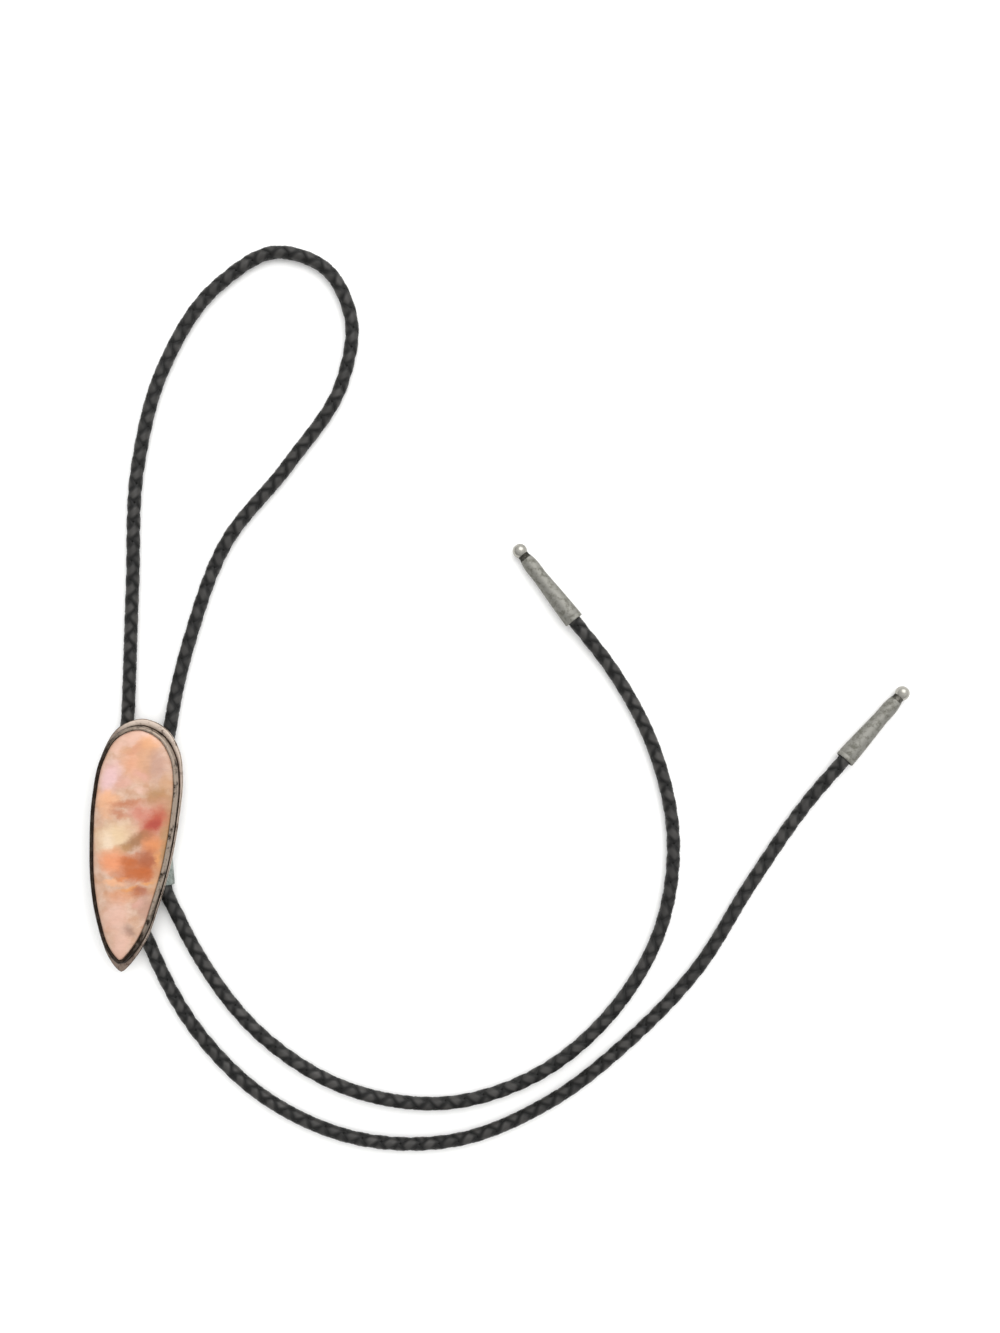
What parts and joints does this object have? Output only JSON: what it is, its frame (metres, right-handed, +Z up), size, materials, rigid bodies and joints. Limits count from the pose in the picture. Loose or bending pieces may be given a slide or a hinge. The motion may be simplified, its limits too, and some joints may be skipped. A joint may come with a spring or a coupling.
{
  "type": "bolo tie",
  "caption": "Bolo tie with a long pointed-oval shell slide in a bezel setting, on a braided leather cord with tapered metal tips, lying flat.",
  "frame": {"origin": "middle of the slide's underside (clip, setting and stone), on the surface that the bolo tie lies on", "axes": "+X to the slide's right, +Y towards its round end where the neck loop leaves, +Z up out of the stone"},
  "size_m": [0.2396, 0.2661, 0.0117],
  "materials": {
    "setting_silver": "hand-burnished silver with an oxidised line along the stone",
    "shell": "polished orange, peach and pink shell with cream and red zones",
    "clip_metal": "satin nickel plate",
    "leather_cord": "black round-braided leather, semi-matt",
    "tip_metal": "satin silver-coloured metal with darker tarnish"
  },
  "bodies": {
    "root": {"setting": "setting_silver", "cabochon": "shell", "cord_clip": "clip_metal", "braided_cord": "leather_cord", "tip_inner": "tip_metal", "tip_outer": "tip_metal"}
  },
  "joints": []
}
